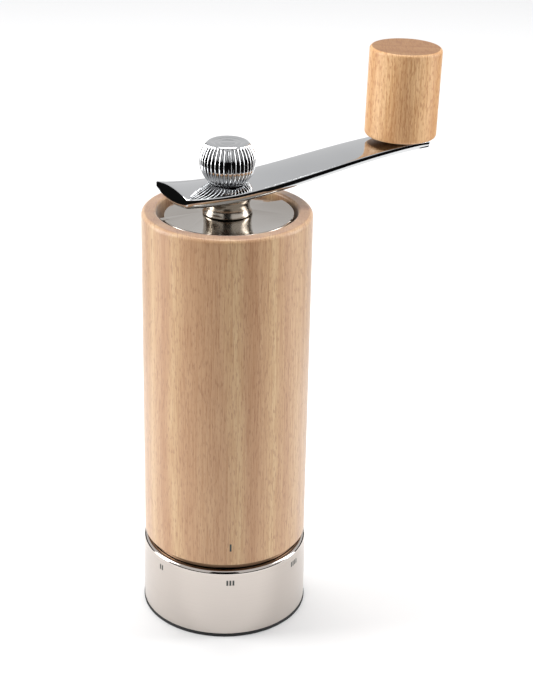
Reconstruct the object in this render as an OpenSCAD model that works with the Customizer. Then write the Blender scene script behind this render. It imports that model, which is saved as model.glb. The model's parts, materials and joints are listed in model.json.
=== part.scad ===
// Hand-cranked burr grinder: a turned wooden body on a steel setting ring.
// A crank turns a vertical shaft with a toothed cone; turning the ring raises or lowers the
// toothed sleeve round the cone. The grounds fall into a cup that pulls down out of the ring.
// Millimetres, +Z up. The origin is the centre of the foot's underside and the front is -Y.

/* [Wooden body] */
// Radius of the turned body
body_r = 30; // [28:0.5:38]
// Height of the turned body
body_h = 126.4; // [100:0.2:160]
// Radius of the bean chamber bored through it
chamber_r = 23; // [18:0.5:23.5]
// Radius of the recess that holds the lid
recess_r = 24.8; // [24.4:0.1:26.5]
// Depth of the lid recess below the rim
recess_h = 7.1; // [6.5:0.1:10]
// Rounding of the rim
rim_round = 1.6; // [0.5:0.1:2.2]

/* [Base] */
// Thickness of the rubber foot
foot_h = 1.1; // [0.8:0.1:4]
// How far the foot stands out past the body
foot_over = 0.7; // [0.2:0.1:2]
// Height of the steel sleeve of the setting ring
ring_h = 26.8; // [25.2:0.1:34]
// How far the sleeve stands out past the body
ring_over = 0.5; // [0.1:0.1:2]
// Wall of the steel sleeve
ring_wall = 0.9; // [0.6:0.1:1.2]
// Height of the groove between the sleeve and the wood
groove_h = 2.6; // [2.4:0.1:6]
// Depth of that groove below the wood's face
groove_in = 1.6; // [0.5:0.1:2]
// Height of the grounds cup's wall
cup_h = 14; // [10:0.1:14.3]
// Wall of the grounds cup
cup_wall = 1.2; // [0.8:0.1:1.6]

/* [Grinding set] */
// Radius of the toothed cone at its foot
cone_r = 15; // [12:0.1:15.4]
// Radius of the toothed cone at its top
cone_top_r = 9; // [7:0.1:11]
// Height of the toothed cone
cone_h = 13; // [10:0.1:13.4]
// Grinding gap at the middle setting
grind_gap = 0.45; // [0.3:0.05:0.8]
// Number of fine teeth on the cone
cone_teeth = 20; // [12:1:24]
// Number of fine teeth in the sleeve
sleeve_teeth = 24; // [12:1:30]
// Outer radius of the carrier that holds the toothed sleeve
carrier_r = 20; // [19.5:0.1:20.4]

/* [Shaft] */
// Radius of the drive shaft
shaft_r = 3.5; // [3:0.1:4.2]
// Running clearance of the shaft in its bushes
run_gap = 0.05; // [0.02:0.01:0.1]
// Width across the flats of the square that drives the cone
cone_square = 4.9; // [3.8:0.1:4.9]
// Width across the flats of the square that drives the crank
crank_square = 4.2; // [3:0.1:4.2]

/* [Crank] */
// Direction of the crank arm at rest, in degrees from +X towards +Y
crank_angle = 30; // [0:1:359]
// Distance from the shaft to the handle's axis
crank_reach = 72.4; // [55:0.2:90]
// Length of the arm behind the shaft
arm_tail = 22; // [14:0.5:26]
// Length of the arm past the handle's axis
arm_tip = 8; // [7:0.5:14]
// Width of the arm at its tail
arm_tail_w = 22; // [18:0.5:26]
// Width of the arm at its tip
arm_tip_w = 15; // [14:0.5:22]
// Thickness of the arm along its edges at the tail
arm_tail_t = 3.2; // [2.4:0.1:4.5]
// Thickness of the arm along its edges at the tip
arm_tip_t = 2.6; // [2:0.1:4.5]
// Rise of the crowned top face over its edges at the tail
arm_crown = 1.4; // [0.4:0.1:2]
// Depth of the curved underside below its edges at the tail
arm_belly = 1.8; // [0.4:0.1:2.4]
// Height of the arm's top edges over the rim of the body, at the shaft
arm_over_rim = 8.9; // [8.6:0.1:14]
// Rise of the arm from the shaft to the handle
arm_rise = 5.9; // [0:0.1:14]
// Upward curl of the arm's tail
tail_curl = 1.8; // [0:0.1:4]
// Radius of the ball knob
ball_r = 9.8; // [8:0.1:12]
// Number of flutes round the ball knob
ball_flutes = 36; // [18:1:48]

/* [Handle] */
// Radius of the wooden handle
handle_r = 13.1; // [10:0.1:16]
// Height of the wooden handle
handle_h = 32.6; // [24:0.2:45]
// Rounding of the handle's edges
handle_round = 1.2; // [0.5:0.1:3]
// Outward lean of the handle's axis in degrees
handle_lean = 1.4; // [0:0.1:3]
// Radius of the bolt that the handle turns on
bolt_r = 3; // [2:0.1:3.4]

/* [Setting marks] */
// Angle between one setting and the next
mark_step = 54; // [40:1:58]
// Number of settings
mark_count = 6; // [4:1:6]
// Direction of the index mark, in degrees to the right of the front
mark_angle = 4.2; // [0:0.1:20]
// Height of a mark
mark_h = 2.2; // [1:0.1:4]
// Width of a mark
mark_w = 0.7; // [0.3:0.1:1]
// Height of the index mark on the wood
index_h = 3.1; // [1:0.1:4]
// Depth that the marks are cut
mark_cut = 0.2; // [0.1:0.05:0.4]

/* [Hidden] */
$fn = 64;

// Small overlap that joins shapes of one piece
eps = 0.01;
// Gap between pieces that move past each other, and the smaller one between fixed pieces
play = 0.3;
fit = 0.05;

// Levels from the table up
ring_z0 = foot_h + 0.2;
ring_z1 = ring_z0 + ring_h;
wood_z0 = ring_z1 + groove_h;
wood_z1 = wood_z0 + body_h;
ledge_z = wood_z1 - recess_h;

// Setting ring: steel sleeve with an inturned lip, and a plastic core with an inner shoulder
foot_r = body_r + foot_over;
ring_r = body_r + ring_over;
sleeve_in = ring_r - ring_wall;
lip_h = 1;
lip_w = 2;
lip_round = 1.4;
core_r = sleeve_in - fit;
core_wall = 1.9;
core_in = core_r - core_wall;
core_z0 = ring_z0 + 2.1;
core_z1 = ring_z1 - lip_h - fit;
shoulder_z = core_z1 - 3.1;
marks_z = ring_z1 - 4.9;
index_z = wood_z0 + 7.2;
// The setting that stands at the index mark at rest
mark_rest = 3;

// Casing, from the neck that the ring turns on up to the funnel in the wood
shoulder_w = 3.05;
neck_r = core_in - shoulder_w;
neck_z0 = shoulder_z - 0.2;
band_r = body_r - groove_in;
band_wall = 0.5;
band_in = band_r - band_wall;
socket_r = chamber_r + 1.6;
socket_h = 15.3;
housing_z1 = wood_z0 + socket_h;
housing_screw_r = 1.1;
housing_head_r = 1.5;
housing_head_h = 1.4;
housing_screw_len = 12;
housing_screw_pos = (max(neck_r, socket_r) + band_in) / 2;
bore_r = carrier_r + play;
key_w = 3;
key_out = 1.1;

// Retaining ring, adjusting nut and its clip, below the neck
retainer_h = 2;
retainer_z0 = neck_z0 - retainer_h;
retainer_r = core_in - play;
retainer_in = bore_r + key_out + 0.3;
retainer_screw_r = 0.8;
retainer_head_r = 1.2;
retainer_head_h = 1;
retainer_screw_len = 6;
retainer_screw_pos = (retainer_in + neck_r) / 2;
nut_h = 2.4;
nut_z1 = retainer_z0 - 0.4;
nut_z0 = nut_z1 - nut_h;
clip_h = 1;
clip_z0 = nut_z0 - clip_h;
clip_bite = 0.6;
clip_w = 1.2;
clip_gap = 5;
detent_r = 0.7;
detent_depth = 3.6;
detent_tip = 0.2;
spring_wire = 0.15;

// Grinding set: the cone stands in the toothed sleeve, which the carrier holds
cone_z0 = nut_z0 + 1.2;
cone_z1 = cone_z0 + cone_h;
slope = (cone_r - cone_top_r) / cone_h;
wing_h = 4;
wing_t = 2;
cone_tooth_depth = 0.55;
sleeve_tooth_depth = 0.45;
tooth_swirl = 14;
sleeve_r = carrier_r - 3.4;
flange_r = carrier_r - 1.5;
sleeve_z0 = cone_z0 - 0.1;
sleeve_z1 = cone_z0 + 11.4;
flange_z1 = sleeve_z0 + 1.9;
carrier_z0 = sleeve_z0 - 0.3;
carrier_z1 = sleeve_z1 + 1.1;
key_z0 = neck_z0 + 1.5;
key_z1 = carrier_z1 - 2;
stator_screw_r = 0.6;
stator_head_r = 0.85;
stator_head_h = 0.8;
stator_screw_pos = (sleeve_r + flange_r) / 2;
throat_r = sleeve_r - 3.6;
throat_z = carrier_z1 + 1;
throat_h = 1.2;

// Grounds cup
cup_r = core_in - play;
cup_base_h = 1.6;
cup_base_r = sleeve_in - play;
cup_z1 = foot_h + cup_base_h + cup_h;

// Lid: a drawn plate with a filling hole, and a shutter whose seam lies behind the hub
bush_r = shaft_r + 1.5;
skirt_h = 6;
lid_wall = 0.8;
lid_r = recess_r - 1.3;
wall_r = min(lid_r - 0.6, chamber_r - 0.8);
plate_z1 = wood_z1 - 1.9;
plate_z0 = plate_z1 - 0.7;
hole_in = bush_r + 4.5;
hole_out = wall_r - 1.8;
seam_angle = 24.8;
seam_back = 3.4;
shutter_z0 = plate_z1 + 0.15;
shutter_t = 0.85;
shutter_z1 = shutter_z0 + shutter_t;
rim_wire = 0.45;
tab_w = 2.4;
tab_out = 0.7;

// Shaft, from the square that drives the cone to the thread of the ball knob
washer_h = 1;
screw_r = 1.45;
screw_washer_r = 7;
screw_len = 9;
shaft_z0 = cone_z0 + 0.5;
shaft_round_z0 = cone_z1 + wing_h;
bridge_z = wood_z0 + body_h * 0.52;
bridge_h = 4;
bridge_rim = 2;
bridge_leg_w = 3;
bridge_hub = 2.5;
bush_flange = 1;
clip_groove_z = bridge_z + bridge_h + bush_flange + 0.3;
clip_groove_h = 0.9;
clip_groove_r = shaft_r - 0.6;

// Arm, along its own X axis from the shaft, and what stands under and on it
arm_z = wood_z1 + arm_over_rim;
arm_end = crank_reach + arm_tip;
bend_from = -5;
bend_to = crank_reach + 3;
arm_steps = 40;
crown_steps = 8;
collar_z0 = shutter_z1 + 0.2;
collar_top_r = 8.3;
collar_waist_r = 7.8;
collar_flare = 0.4;
seat_z = arm_z - arm_thick(0) - arm_bulge(0) * arm_belly * 0.4;
cove_h = seat_z - collar_z0 - 1.8;
square_z0 = seat_z - 1.9;
ball_seat_z = arm_z + arm_bulge(0) * arm_crown * 0.6;
ball_z = ball_seat_z + 0.835 * ball_r;
ball_top_z = ball_z + 0.72 * ball_r;
dish_r = 0.58 * ball_r;
dish_depth = 0.5;
flute_r = 0.28;
flute_low = 48;
flute_high = 36;
thread_r = crank_square / 2 - 0.1;
shaft_z1 = ball_z + 3;

// Handle, in a frame whose origin is on the arm and whose Z is the handle's axis
arm_tip_z = arm_z + arm_rise;
tip_crown = arm_bulge(crank_reach) * arm_crown;
washer_seat = tip_crown * 0.6;
handle_washer_h = 1;
handle_washer_r = min(6, arm_tip_w * 0.4);
bolt_head_r = 4;
bolt_head_h = 1.5;
bolt_dome = 6.1;
bolt_head_seat = -arm_thick(crank_reach) - arm_bulge(crank_reach) * arm_belly * 0.7;
handle_z0 = max(washer_seat + handle_washer_h, tip_crown) + 0.12;
handle_bush_r = bolt_r + 2;
handle_bore_h = handle_h - 5;
handle_clip_z = handle_z0 + handle_bore_h - 3;
bolt_z1 = handle_clip_z + 2;

function clamp01(t) = min(1, max(0, t));
function ease(t) = t * t * (3 - 2 * t);
function arm_height(s) =
    arm_z + arm_rise * ease(clamp01((s - bend_from) / (bend_to - bend_from)))
    + tail_curl * pow(min(s, 0) / arm_tail, 2);
function along_arm(tail, tip, s) = tail + (tip - tail) * (s + arm_tail) / (arm_tail + arm_end);
function arm_width(s) = along_arm(arm_tail_w, arm_tip_w, s);
function arm_thick(s) = along_arm(arm_tail_t, arm_tip_t, s);
// Top and bottom keep one radius across, so they flatten as the arm narrows
function arm_bulge(s) = pow(arm_width(s) / arm_tail_w, 2);

// ---- Shared shapes ----

module disc(r, z0, z1) {
    translate([0, 0, z0]) cylinder(r = r, h = z1 - z0);
}

module tube(outer, inner, z0, z1) {
    difference() {
        disc(outer, z0, z1);
        disc(inner, z0 - 1, z1 + 1);
    }
}

// An outline of radius and height pairs turned round Z
module turned(points) {
    rotate_extrude() polygon(points);
}

module around(count, r, start = 0) {
    for (i = [0 : count - 1])
        rotate([0, 0, start + i * 360 / count]) translate([r, 0, 0]) children();
}

// What a rounding of radius q takes off an outer top corner at [r, z]
module corner_waste(r, z, q) {
    difference() {
        translate([r - q, z - q]) square([q + 1, q + 1]);
        translate([r - q, z - q]) circle(r = q);
    }
}

// Socket-headed screw: its head hangs below z = 0 and its shank points up
module screw(head_r, head_h, shank_r, shank_h) {
    difference() {
        translate([0, 0, -head_h]) cylinder(r = head_r, h = head_h);
        translate([0, 0, -head_h - 1]) cylinder(r = head_r * 0.5, h = 1 + head_h * 0.5, $fn = 6);
    }
    translate([0, 0, -eps]) cylinder(r = shank_r, h = shank_h + eps);
}

// A bar cut into the round face of radius r, in the direction of +X
module mark_bar(r, z, h) {
    translate([r - mark_cut, -mark_w / 2, z - h / 2]) cube([2, mark_w, h]);
}

module on_crank() {
    rotate([0, 0, crank_angle]) children();
}

module at_handle() {
    on_crank() translate([crank_reach, 0, arm_tip_z]) rotate([0, handle_lean, 0]) children();
}

// ---- Wooden body ----

module wood_body() {
    color("burlywood") difference() {
        rotate_extrude() difference() {
            translate([0, wood_z0]) square([body_r, body_h]);
            translate([-1, wood_z0 - 1]) square([chamber_r + 1, body_h + 2]);
            translate([-1, ledge_z]) square([recess_r + 1, recess_h + 1]);
            translate([-1, wood_z0 - 1]) square([socket_r + 1, socket_h + 1]);
            corner_waste(body_r, wood_z1, rim_round);
            translate([recess_r * 2, 0]) mirror([1, 0])
                corner_waste(recess_r, wood_z1, rim_round / 2);
        }
        rotate([0, 0, mark_angle - 90]) mark_bar(body_r, index_z, index_h);
        around(3, housing_screw_pos, 90) translate([0, 0, wood_z0 - 1])
            cylinder(r = housing_screw_r + fit, h = housing_screw_len + 1);
    }
}

// Polished band that shows in the groove under the wood
module collar_ring() {
    color("silver") tube(band_r, band_in + fit, ring_z1 + play, wood_z0);
}

// The plastic casing under the wood: funnel above, guide bore for the carrier below
module burr_housing() {
    color("dimgray") difference() {
        turned([
            [bore_r, neck_z0], [neck_r, neck_z0], [neck_r, ring_z1 + play],
            [band_in, ring_z1 + play], [band_in, wood_z0], [socket_r - fit, wood_z0],
            [socket_r - fit, housing_z1], [chamber_r, housing_z1], [throat_r, throat_z + throat_h],
            [throat_r, throat_z], [bore_r, throat_z]
        ]);
        for (side = [0, 180])
            rotate([0, 0, side]) translate([0, -key_w / 2 - 0.1, neck_z0 - 1])
                cube([bore_r + key_out, key_w + 0.2, key_z1 - neck_z0 + 2]);
        around(3, housing_screw_pos, 90) translate([0, 0, ring_z1]) {
            cylinder(r = housing_screw_r + fit, h = groove_h + 1);
            cylinder(r = housing_head_r + fit, h = play + housing_head_h);
        }
        around(3, retainer_screw_pos, 45) translate([0, 0, neck_z0 - 1])
            cylinder(r = retainer_screw_r + fit, h = retainer_screw_len + 1);
    }
}

module housing_screws() {
    color("gray") around(3, housing_screw_pos, 90)
        translate([0, 0, ring_z1 + play + housing_head_h])
            screw(housing_head_r, housing_head_h, housing_screw_r, housing_screw_len);
}

// Holds the setting ring's shoulder up against the housing
module retaining_ring() {
    color("dimgray") difference() {
        tube(retainer_r, retainer_in, retainer_z0, neck_z0);
        around(3, retainer_screw_pos, 45) translate([0, 0, retainer_z0 - 1]) {
            cylinder(r = retainer_screw_r + fit, h = retainer_h + 2);
            cylinder(r = retainer_head_r + fit, h = 1 + retainer_head_h);
        }
        detent_line() translate([0, 0, -detent_depth])
            cylinder(r = detent_r + fit, h = detent_depth + 1);
    }
}

module retaining_screws() {
    color("gray") around(3, retainer_screw_pos, 45)
        translate([0, 0, retainer_z0 + retainer_head_h])
            screw(retainer_head_r, retainer_head_h, retainer_screw_r, retainer_screw_len);
}

// The ball's radial line, with its origin on the retaining ring's rim
module detent_line() {
    rotate([0, 0, mark_angle + 90]) translate([retainer_r, 0, retainer_z0 + retainer_h / 2])
        rotate([0, 90, 0]) children();
}

module detent_ball() {
    color("silver") detent_line() translate([0, 0, detent_tip - detent_r]) sphere(r = detent_r);
}

// Points of a helix that rises h in the given turns, and a round wire swept along them
function helix(r, h, turns, steps) = [
    for (i = [0 : turns * steps])
        let (a = i * 360 / steps) [r * cos(a), r * sin(a), h * i / (turns * steps)]
];

module helical_wire(r, h, turns, wire, steps = 16, sides = 8) {
    path = helix(r, h, turns, steps);
    count = len(path);
    points = [
        for (i = [0 : count - 1]) let (a = i * 360 / steps) for (k = [0 : sides - 1])
            let (b = k * 360 / sides, out = wire * cos(b))
                path[i] + [out * cos(a), out * sin(a), wire * sin(b)]
    ];
    skin = [
        for (i = [0 : count - 2]) for (k = [0 : sides - 1])
            let (n = (k + 1) % sides)
                [i * sides + k, i * sides + n, (i + 1) * sides + n, (i + 1) * sides + k]
    ];
    first = [for (k = [sides - 1 : -1 : 0]) k];
    last = [for (k = [0 : sides - 1]) (count - 1) * sides + k];
    polyhedron(points, concat(skin, [first, last]));
}

module detent_spring() {
    length = detent_depth + detent_tip - 2 * detent_r - 2 * spring_wire - 0.1;
    color("gray") detent_line() translate([0, 0, -detent_depth + spring_wire + 0.05])
        helical_wire(detent_r - spring_wire - 0.1, length, 4, spring_wire);
}

// Three-legged spider pressed into the bean chamber, with the middle bush in its hub
module mid_bridge() {
    color("silver") difference() {
        union() {
            tube(chamber_r - fit, chamber_r - bridge_rim, bridge_z, bridge_z + bridge_h);
            around(3, 0, 30) translate([bush_r + 1, -bridge_leg_w / 2, bridge_z])
                cube([chamber_r - bush_r - bridge_rim, bridge_leg_w, bridge_h]);
            disc(bush_r + bridge_hub, bridge_z - 1, bridge_z + bridge_h);
        }
        disc(bush_r + fit, bridge_z - 2, bridge_z + bridge_h + 1);
    }
}

module mid_bush() {
    color("white") turned([
        [shaft_r + run_gap, bridge_z - 1], [bush_r, bridge_z - 1], [bush_r, bridge_z + bridge_h],
        [bush_r + 1.5, bridge_z + bridge_h], [bush_r + 1.5, bridge_z + bridge_h + bush_flange],
        [shaft_r + run_gap, bridge_z + bridge_h + bush_flange]
    ]);
}

// ---- Lid ----

module lid_plate() {
    color("lightgray") difference() {
        turned([
            [0, plate_z0], [wall_r - lid_wall, plate_z0], [wall_r - lid_wall, ledge_z],
            [chamber_r - fit - lid_wall, ledge_z - skirt_h], [chamber_r - fit, ledge_z - skirt_h],
            [chamber_r - fit, ledge_z], [recess_r - 0.1, ledge_z],
            [recess_r - 0.1, ledge_z + lid_wall], [wall_r, ledge_z + lid_wall],
            [wall_r, plate_z1], [0, plate_z1]
        ]);
        disc(bush_r + fit, plate_z0 - 1, plate_z1 + 1);
        rotate([0, 0, seam_angle]) translate([0, 0, plate_z0 - 1])
            linear_extrude(3) difference() {
                half_moon(hole_out, -seam_back - 0.8);
                circle(r = hole_in);
            }
    }
}

// The part of a circle in front of the line y = back
module half_moon(r, back) {
    intersection() {
        circle(r = r);
        translate([-r, back - 2 * r]) square([2 * r, 2 * r]);
    }
}

module hub_bush() {
    color("white") turned([
        [shaft_r + run_gap, plate_z0 - 4], [bush_r + 2.5, plate_z0 - 4],
        [bush_r + 2.5, plate_z0], [bush_r, plate_z0], [bush_r, shutter_z1 + 0.05],
        [shaft_r + run_gap, shutter_z1 + 0.05]
    ]);
}

// Half disc with a rolled rim that swings round the hub to open the filling hole
module lid_shutter() {
    color("gainsboro") rotate([0, 0, seam_angle]) difference() {
        union() {
            translate([0, 0, shutter_z0]) linear_extrude(shutter_t) {
                half_moon(lid_r - rim_wire, seam_back);
                circle(r = bush_r + 3);
            }
            intersection() {
                rotate_extrude() translate([lid_r - rim_wire, shutter_z0 + rim_wire])
                    circle(r = rim_wire);
                translate([-lid_r, seam_back - 2 * lid_r, shutter_z0]) cube([2 * lid_r, 2 * lid_r, 2]);
            }
            translate([-lid_r - tab_out, seam_back - tab_w, shutter_z0])
                cube([tab_w, tab_w, 2 * rim_wire]);
        }
        disc(bush_r + 0.15, shutter_z0 - 1, shutter_z0 + 3);
    }
}

// ---- Setting ring ----

module ring_sleeve() {
    color("silver") difference() {
        rotate_extrude() difference() {
            translate([0, ring_z0]) square([ring_r, ring_h]);
            translate([-1, ring_z0 - 1]) square([sleeve_in + 1, ring_h + 1 - lip_h]);
            translate([-1, ring_z0]) square([sleeve_in - lip_w + 1, ring_h + 1]);
            corner_waste(ring_r, ring_z1, lip_round);
        }
        for (i = [1 : mark_count]) setting_mark(i);
    }
}

// One bar for the first setting, two for the second and so on
module setting_mark(n) {
    spread = mark_w * 1.6 / ring_r * 180 / PI;
    for (k = [0 : n - 1])
        rotate([0, 0, mark_angle - 90 + (n - mark_rest) * mark_step + (k - (n - 1) / 2) * spread])
            mark_bar(ring_r, marks_z, mark_h);
}

module ring_core() {
    color("dimgray") difference() {
        turned([
            [core_in, core_z0], [core_r, core_z0], [core_r, core_z1],
            [neck_r + play, core_z1], [neck_r + play, shoulder_z], [core_in, shoulder_z]
        ]);
        for (i = [1 : mark_count])
            rotate([0, 0, mark_angle + 90 + (i - mark_rest) * mark_step])
                translate([core_in, 0, retainer_z0 - 0.2])
                    cylinder(r = detent_r, h = shoulder_z - retainer_z0 + 0.1);
        tube(core_in + clip_bite, core_in - 1, clip_z0, clip_z0 + clip_h);
    }
}

// Threaded plate that lifts the carrier as the ring turns
module adjust_nut() {
    color("goldenrod") tube(core_in - fit, carrier_r + fit, nut_z0, nut_z1);
}

module nut_clip() {
    color("gray") difference() {
        tube(core_in + clip_bite - fit, core_in - clip_w, clip_z0, nut_z0);
        translate([0, -clip_gap / 2, clip_z0 - 1]) cube([core_in + 2, clip_gap, clip_h + 2]);
    }
}

// ---- Grounds cup ----

module grounds_cup() {
    color("darkslategray") turned([
        [0, foot_h], [cup_base_r, foot_h], [cup_base_r, foot_h + cup_base_h],
        [cup_r, foot_h + cup_base_h], [cup_r, cup_z1], [cup_r - cup_wall, cup_z1],
        [cup_r - cup_wall, foot_h + cup_base_h], [0, foot_h + cup_base_h]
    ]);
}

module foot_pad() {
    color("black") disc(foot_r, 0, foot_h);
}

// ---- Grinding set ----

module stator_carrier() {
    color("dimgray") difference() {
        union() {
            turned([
                [flange_r + fit, carrier_z0], [carrier_r, carrier_z0], [carrier_r, carrier_z1],
                [throat_r, carrier_z1], [throat_r, sleeve_z1], [sleeve_r + fit, sleeve_z1],
                [sleeve_r + fit, flange_z1], [flange_r + fit, flange_z1]
            ]);
            for (side = [0, 180])
                rotate([0, 0, side]) translate([sleeve_r + 1, -key_w / 2, key_z0])
                    cube([carrier_r - sleeve_r - 1 + key_out - play, key_w, key_z1 - key_z0]);
        }
        around(3, stator_screw_pos, 30) translate([0, 0, flange_z1 - 1])
            cylinder(r = stator_screw_r + fit, h = 6);
    }
}

// A straight groove with a pointed bottom, lying on a cone's face
module tooth_cut(r_foot, r_top, z0, z1, depth, swirl, outward) {
    run = z1 - z0;
    rise = atan2(r_foot - r_top, run);
    translate([r_foot, 0, z0]) rotate([0, -rise, 0]) rotate([swirl, 0, 0])
        translate([0, 0, -2]) linear_extrude(run / cos(rise) + 4) rotate(outward ? 0 : 180)
            polygon([[-depth, 0], [depth, -2 * depth], [depth, 2 * depth]]);
}

module rotor_burr() {
    color("slategray") difference() {
        union() {
            translate([0, 0, cone_z0]) cylinder(r1 = cone_r, r2 = cone_top_r, h = cone_h);
            for (a = [0 : 90 : 270])
                rotate([0, 0, a]) translate([0, -wing_t / 2, cone_z1 - 1])
                    cube([cone_top_r - 0.5, wing_t, wing_h + 1]);
            disc(cone_square * 0.5 + 2.6, cone_z1 - 1, cone_z1 + wing_h);
        }
        for (i = [0 : cone_teeth - 1])
            rotate([0, 0, i * 360 / cone_teeth])
                tooth_cut(cone_r, cone_top_r, cone_z0, cone_z1, cone_tooth_depth, tooth_swirl, true);
        translate([-cone_square / 2 - fit, -cone_square / 2 - fit, cone_z0 - 1])
            cube([cone_square + 2 * fit, cone_square + 2 * fit, cone_h + wing_h + 2]);
    }
}

module stator_burr() {
    foot = cone_r + grind_gap;
    top = foot - slope * (sleeve_z1 - sleeve_z0);
    color("slategray") difference() {
        union() {
            disc(flange_r, sleeve_z0, flange_z1);
            disc(sleeve_r, sleeve_z0, sleeve_z1);
        }
        translate([0, 0, sleeve_z0 - 1])
            cylinder(r1 = foot + slope, r2 = top - slope, h = sleeve_z1 - sleeve_z0 + 2);
        for (i = [0 : sleeve_teeth - 1])
            rotate([0, 0, i * 360 / sleeve_teeth])
                tooth_cut(foot, top, sleeve_z0, sleeve_z1, sleeve_tooth_depth, -tooth_swirl, false);
        around(3, stator_screw_pos, 30) translate([0, 0, sleeve_z0 - 1]) {
            cylinder(r = stator_screw_r + fit, h = 8);
            cylinder(r = stator_head_r + fit, h = 1 + stator_head_h);
        }
    }
}

module stator_screws() {
    color("gray") around(3, stator_screw_pos, 30)
        translate([0, 0, sleeve_z0 + stator_head_h])
            screw(stator_head_r, stator_head_h, stator_screw_r, flange_z1 - sleeve_z0 + 3);
}

// ---- Shaft and its fasteners ----

module drive_shaft() {
    color("silver") difference() {
        union() {
            translate([-cone_square / 2, -cone_square / 2, shaft_z0])
                cube([cone_square, cone_square, shaft_round_z0 - shaft_z0 + 1]);
            disc(shaft_r, shaft_round_z0, square_z0);
            on_crank() translate([-crank_square / 2, -crank_square / 2, square_z0 - 1])
                cube([crank_square, crank_square, ball_seat_z - square_z0 + 1]);
            disc(thread_r, ball_seat_z - 1, shaft_z1);
        }
        tube(shaft_r + 1, clip_groove_r, clip_groove_z, clip_groove_z + clip_groove_h);
        disc(screw_r + fit, shaft_z0 - 1, shaft_z0 + screw_len);
    }
}

// Open clip that keeps the shaft from dropping through the middle bush
module shaft_clip() {
    color("gray") difference() {
        tube(shaft_r + 2.2, clip_groove_r + fit, clip_groove_z + fit,
            clip_groove_z + clip_groove_h - fit);
        translate([0, -clip_groove_r * 0.7, clip_groove_z - 1])
            cube([shaft_r + 4, clip_groove_r * 1.4, 3]);
    }
}

module rotor_washer() {
    color("silver") tube(screw_washer_r, screw_r + fit, cone_z0 - washer_h, cone_z0);
}

module rotor_screw() {
    color("gray") translate([0, 0, cone_z0 - washer_h])
        screw(screw_r * 2, 1.8, screw_r, shaft_z0 - cone_z0 + washer_h + screw_len - 1);
}

// ---- Crank ----

// Turned collar between the lid and the arm
module drive_collar() {
    color("silver") difference() {
        rotate_extrude() difference() {
            translate([0, collar_z0]) square([collar_top_r + collar_flare, seat_z - collar_z0]);
            translate([collar_waist_r + cove_h, collar_z0 + 0.9 + cove_h / 2]) circle(r = cove_h);
            translate([collar_top_r, seat_z - 0.9 - cove_h / 2])
                square([2, 2 + cove_h]);
        }
        disc(shaft_r + fit, collar_z0 - 1, square_z0);
        on_crank() translate([-crank_square / 2 - fit, -crank_square / 2 - fit, square_z0 - 1])
            cube([crank_square + 2 * fit, crank_square + 2 * fit, 10]);
    }
}

// One cross-section of the arm: crowned on top and bellied underneath
function arm_section(s) = let (w = arm_width(s) / 2, z = arm_height(s), b = arm_bulge(s)) concat(
    [for (i = [0 : crown_steps]) let (u = 2 * i / crown_steps - 1)
        [s, u * w, z + b * arm_crown * (1 - u * u)]],
    [for (i = [0 : crown_steps]) let (u = 1 - 2 * i / crown_steps)
        [s, u * w, z - arm_thick(s) - b * arm_belly * (1 - u * u)]]
);

module arm_bar() {
    sides = 2 * crown_steps + 2;
    points = [
        for (i = [0 : arm_steps])
            each arm_section(-arm_tail + (arm_end + arm_tail) * i / arm_steps)
    ];
    skin = [
        for (i = [0 : arm_steps - 1]) for (k = [0 : sides - 1])
            let (n = (k + 1) % sides, a = i * sides, b = a + sides)
                each [[a + k, a + n, b + n], [a + k, b + n, b + k]]
    ];
    caps = [
        for (k = [1 : sides - 2])
            each [[0, k + 1, k], [arm_steps * sides, arm_steps * sides + k,
                arm_steps * sides + k + 1]]
    ];
    polyhedron(points, concat(skin, caps));
}

module crank_arm() {
    color("gainsboro") difference() {
        on_crank() arm_bar();
        intersection() {
            translate([0, 0, ball_z]) sphere(r = ball_r + fit);
            disc(ball_r + 1, ball_seat_z, ball_z);
        }
        disc(collar_top_r + fit, seat_z - 8, seat_z);
        on_crank() translate([-crank_square / 2 - fit, -crank_square / 2 - fit, seat_z - 2])
            cube([crank_square + 2 * fit, crank_square + 2 * fit, 12]);
        at_handle() {
            disc(bolt_r + fit, -10, 10);
            disc(handle_washer_r + fit, washer_seat, washer_seat + 8);
            disc(bolt_head_r + fit, bolt_head_seat - 8, bolt_head_seat);
        }
    }
}

// Fluted nut on top of the shaft
module ball_knob() {
    color("silver") difference() {
        rotate_extrude() difference() {
            intersection() {
                translate([0, ball_z]) circle(r = ball_r);
                translate([0, ball_seat_z]) square([ball_r + 1, ball_top_z - ball_seat_z]);
            }
            translate([-1, ball_top_z - dish_depth]) square([dish_r + 1, dish_depth + 1]);
        }
        for (i = [0 : ball_flutes - 1])
            rotate([0, 0, i * 360 / ball_flutes]) translate([0, 0, ball_z]) rotate([90, 0, 0])
                rotate([0, 0, -flute_low]) rotate_extrude(angle = flute_low + flute_high)
                    translate([ball_r, 0]) circle(r = flute_r, $fn = 24);
        disc(thread_r + fit, ball_seat_z - 1, shaft_z1 + 0.5);
    }
}

// ---- Handle ----

module handle_bolt() {
    color("silver") at_handle() difference() {
        union() {
            translate([0, 0, bolt_head_seat]) intersection() {
                translate([0, 0, bolt_dome - bolt_head_h]) sphere(r = bolt_dome);
                disc(bolt_head_r, -bolt_head_h, 0);
            }
            disc(bolt_r, bolt_head_seat - eps, bolt_z1);
        }
        tube(bolt_r + 1, bolt_r - 0.6, handle_clip_z, handle_clip_z + 0.9);
    }
}

module handle_washer() {
    color("black") at_handle()
        tube(handle_washer_r, bolt_r + fit, washer_seat, washer_seat + handle_washer_h);
}

module handle_clip() {
    color("gray") at_handle() difference() {
        tube(bolt_r + 1.6, bolt_r - 0.6 + fit, handle_clip_z + fit, handle_clip_z + 0.9 - fit);
        translate([0, -bolt_r * 0.6, handle_clip_z - 1]) cube([bolt_r + 3, bolt_r * 1.2, 3]);
    }
}

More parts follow.
